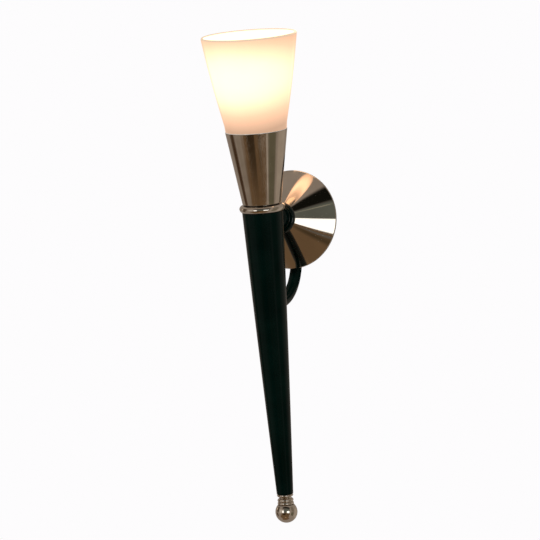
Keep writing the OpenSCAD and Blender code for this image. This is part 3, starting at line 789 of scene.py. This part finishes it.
makeShaft()
makeBeadRing()
makeCup()
makeShade()
makeFinial()
makeCanopy()
makeCollar()
makeNeck()
makeArm()
makeLamp()
print("turned and bent pieces made")


# Finishes of the CAD nodes that keep their own shape
nodeFinishes = {
    "zincSteel": ["wall_plate", "arm_saddle", "saddle_screws", "stem_spacer",
                  "collar_grub_screw", "arm_plug", "arm_stud", "shaft_block", "shaft_head",
                  "shaft_foot", "cup_washer", "finial_stud"],
    "turnedBrass": ["earth_washer", "stem_pipe", "stem_locknut", "cup_nut", "riser_pipe",
                    "holder_cap", "holder_shell", "holder_contact", "holder_terminals",
                    "lamp_contact"],
    "earthGreen": ["earth_screw"],
    "glazedPorcelain": ["holder_body"],
    "mouldedSilicone": ["shade_gasket"],
    "blackVitrite": ["lamp_insulator"],
    "brownWire": ["lead_live"],
    "blueWire": ["lead_neutral"],
}
wallNodes = {"wall_plate", "earth_washer", "earth_screw", "arm_saddle", "saddle_screws",
             "stem_pipe", "stem_locknut", "stem_spacer", "collar_grub_screw", "arm_plug",
             "arm_stud"}
for finish, nodes in nodeFinishes.items():
    for node in nodes:
        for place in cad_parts[node].material_slots:
            place.material = finishOn(finish, "wall" if node in wallNodes else "torch")
print("CAD nodes finished")


# Studio: a pale floor, a warm grey drape all round that only metal and gloss see, and cards in
# front of it. A card's place is its direction from the fitting: azimuth from straight out of the
# wall, to the right, and elevation. Lengths in metres, angles in degrees.
studio = {
    "floor": {"height": -0.78, "size": 60, "colour": "#f4f3f1", "roughness": 0.9, "glow": 0.24},
    "drape": {"radius": 9, "colour": "#9a8e84", "around": 48, "high": 24},
    # a warm card over the canopy, behind the shade, by its corners
    "rearGlow": (((-0.08, -0.085, 0.25), (0.12, -0.095, 0.25), (0.055, -0.015, 0.25),
                  (-0.08, 0, 0.25)), "#ffd3ae", 3.2, 0.12),
    # the wall round the canopy lies in its shade: a dark ring seen by the cone's rim and the
    # cup's right edge
    "wallShade": {"inner": 0.061, "outer": 0.08, "out": -0.004, "colour": "#1d1712", "steps": 64},
    # each card: where, how wide and high, colour, strength, feather, distance; later ones stand
    # in front
    "cards": {
        "leftHalo": ((-37, 0), (46, 44), "#d2cac0", 1.0, 0.9, 6.9),
        "warmLeft": ((-90, 12), (16, 12), "#ffe6cc", 1.1, 0.5, 6.9),
        "rightHalo": ((69, -24), (9, 40), "#b4a99e", 1.0, 0.6, 6.5),
        "rearRight": ((142, -10), (56, 60), "#b0a498", 1.0, 0.4, 6.9),
        "ground": ((0, -78), (60, 40), "#755c44", 1.0, 0.3, 6.9),
        "tableTop": ((0, -52), (120, 44), "#6f5840", 1.0, 0.35, 6.8),
        "tableGlint": ((12, -63), (14, 7), "#dcb48c", 1.0, 0.6, 6.6),
        "lowLeft": ((-54, -30), (30, 22), "#91857a", 1.0, 0.6, 6.7),
        "sideLow": ((-87, -20), (30, 28), "#4a3624", 1.0, 0.6, 6.6),
        "sideHigh": ((-75, 12), (34, 46), "#4a3d2d", 1.0, 0.5, 6.6),
        "rightHigh": ((95, 20), (38, 56), "#7c7265", 1.0, 0.4, 6.7),
        "rightLow": ((92, -22), (38, 36), "#6a6553", 1.0, 0.35, 6.6),
        "brownLow": ((18, -30), (96, 32), "#6f5840", 1.0, 0.12, 6.65),
        "darkFront": ((8, -29), (54, 23), "#35291b", 1.0, 0.5, 6.6),
        "darkRight": ((37, -29), (18, 15), "#4a3d2b", 1.0, 1.0, 6.6),
        "greyRight": ((41, -23), (12, 5), "#645e56", 1.0, 0.6, 6.55),
        "roomFront": ((28, 4), (66, 54), "#646760", 1.0, 0.12, 6.6),
        "roomDark": ((20, 39.7), (84, 24), "#141410", 1.0, 0.4, 6.5),
        "streak": ((40, 24), (8, 1.4), "#a09c8c", 1.0, 0.3, 6.4),
        "softLeft": ((-12, -4.5), (18, 25), "#ffffff", 1.8, 0.25, 6.3),
        "softRight": ((43, -6.9), (27, 21.4), "#ffffff", 2.0, 0.14, 6.3),
    },
    # the light that falls on the object from all round, and the white that is seen behind it
    "world": {"light": ("#f3f4f6", 0.55), "seen": ("#fdfcfd", 1.0)},
    # each lamp: where, distance, size, watts
    "lamps": {
        "keyLight": ((-38, 34), 2.6, 1.2, 34),
        "fillLight": ((62, 12), 2.8, 1.4, 18),
    },
}


squareCorners = ((-1, -1), (1, -1), (1, 1), (-1, 1))


def toward(azimuth, elevation):
    a, e = math.radians(azimuth), math.radians(elevation)
    return Vector((math.sin(a) * math.cos(e), -math.cos(a) * math.cos(e), math.sin(e)))


def addSeen(tree):
    # 1 for rays from the camera and those that metal and glass send on, 0 for light on the object
    path = addNode(tree, "ShaderNodeLightPath").outputs
    seen = maths(tree, "ADD", path["Is Camera Ray"], path["Is Glossy Ray"])
    return maths(tree, "ADD", seen, path["Is Transmission Ray"], use_clamp=True)


def glowMaterial(name, colour, strength=1.0, edge=0.0):
    material = bpy.data.materials.new(name)
    material.use_nodes = True
    material.cycles.emission_sampling = "NONE"
    tree = material.node_tree
    tree.nodes.clear()
    settings = {"Color": linear(colour), "Strength": strength}
    glow = addNode(tree, "ShaderNodeEmission", settings).outputs[0]
    if edge:
        # fades out towards the card's edge, measured on its own UV map from the middle
        uv = addNode(tree, "ShaderNodeTexCoord").outputs["UV"]
        away = vectorMaths(tree, "SUBTRACT", {1: (0.5, 0.5, 0)}, {0: uv})[0]
        split = splitVector(tree, vectorMaths(tree, "ABSOLUTE", {}, {0: away})[0])
        far = maths(tree, "MAXIMUM", split["X"], split["Y"])
        shown = mapSpan(tree, far, (0.5, 0.5 - edge / 2), interpolation_type="SMOOTHSTEP")
        clear = addNode(tree, "ShaderNodeBsdfTransparent").outputs[0]
        glow = addNode(tree, "ShaderNodeMixShader", {}, {0: shown, 1: clear, 2: glow}).outputs[0]
    addNode(tree, "ShaderNodeOutputMaterial", {}, {"Surface": glow})
    return material


def stagePiece(name, mesh, material, onlyReflected=True):
    obj = bpy.data.objects.new(name, mesh)
    bpy.context.collection.objects.link(obj)
    obj.data.materials.append(material)
    if onlyReflected:
        obj.visible_camera = obj.visible_diffuse = False
        obj.visible_shadow = obj.visible_transmission = False
    return obj


def makePanel(name, corners, colour, strength, edge):
    mesh = bpy.data.meshes.new(name)
    mesh.from_pydata(corners, [], [(0, 1, 2, 3)])
    layer = mesh.uv_layers.new(name="card")
    for loop, spot in zip(layer.data, ((0, 0), (1, 0), (1, 1), (0, 1))):
        loop.uv = spot
    stagePiece(name, mesh, glowMaterial(name, colour, strength, edge))


def makeCard(name, at, size, colour, strength, edge, distance):
    out = toward(*at)
    across = Vector((0, 0, 1)).cross(out).normalized()
    up = out.cross(across)
    width, height = (2 * distance * math.tan(math.radians(a / 2)) for a in size)
    corners = [out * distance + across * x * width / 2 + up * y * height / 2
               for x, y in squareCorners]
    makePanel(name, corners, colour, strength, edge)


def makeFloor():
    floor = studio["floor"]
    half = floor["size"] / 2
    mesh = bpy.data.meshes.new("floor")
    corners = [(x * half, y * half, floor["height"]) for x, y in squareCorners]
    mesh.from_pydata(corners, [], [(0, 1, 2, 3)])
    material = bpy.data.materials.new("paleFloor")
    material.use_nodes = True
    tree = material.node_tree
    shader = tree.nodes["Principled BSDF"]
    shader.inputs["Base Color"].default_value = linear(floor["colour"])
    shader.inputs["Roughness"].default_value = floor["roughness"]
    # a little lifted where it is seen, so that it stays pale and still takes the shadow
    lift = maths(tree, "MULTIPLY", addSeen(tree), floor["glow"])
    tree.links.new(lift, shader.inputs["Emission Strength"])
    shader.inputs["Emission Color"].default_value = (1, 1, 1, 1)
    # metal and gloss see the drape and the cards instead
    stagePiece("floor", mesh, material, onlyReflected=False).visible_glossy = False


def makeDrape():
    drape = studio["drape"]
    mesh = bpy.data.meshes.new("drape")
    work = bmesh.new()
    bmesh.ops.create_uvsphere(work, u_segments=drape["around"], v_segments=drape["high"],
                              radius=drape["radius"])
    bmesh.ops.reverse_faces(work, faces=work.faces)
    work.to_mesh(mesh)
    work.free()
    stagePiece("drape", mesh, glowMaterial("drape", drape["colour"]))


def makeWallShade():
    ring = studio["wallShade"]
    steps = ring["steps"]
    mesh = bpy.data.meshes.new("wallShade")
    turns = [math.tau * i / steps for i in range(steps)]
    corners = [(r * math.cos(t), -ring["out"], r * math.sin(t))
               for r in (ring["inner"], ring["outer"]) for t in turns]
    faces = [(i, (i + 1) % steps, (i + 1) % steps + steps, i + steps) for i in range(steps)]
    mesh.from_pydata(corners, [], faces)
    stagePiece("wallShade", mesh, glowMaterial("wallShade", ring["colour"]))


def makeWorld():
    world = bpy.data.worlds.new("studio")
    bpy.context.scene.world = world
    world.use_nodes = True
    tree = world.node_tree
    tree.nodes.clear()
    light, seen = (addNode(tree, "ShaderNodeBackground",
                           {"Color": linear(colour), "Strength": strength}).outputs[0]
                   for colour, strength in (studio["world"][k] for k in ("light", "seen")))
    mixed = addNode(tree, "ShaderNodeMixShader", {}, {0: addSeen(tree), 1: light, 2: seen})
    addNode(tree, "ShaderNodeOutputWorld", {}, {"Surface": mixed.outputs[0]})


def makeLight(name, at, distance, size, watts):
    data = bpy.data.lights.new(name, "AREA")
    data.shape, data.size, data.energy = "SQUARE", size, watts
    light = bpy.data.objects.new(name, data)
    bpy.context.collection.objects.link(light)
    light.location = toward(*at) * distance
    light.rotation_euler = toward(*at).to_track_quat("Z", "Y").to_euler()
    light.visible_glossy = False


makeFloor()
makeDrape()
for name, card in studio["cards"].items():
    makeCard(name, *card)
makePanel("rearGlow", *studio["rearGlow"])
makeWallShade()
makeWorld()
for name, light in studio["lamps"].items():
    makeLight(name, *light)
print("studio lit")
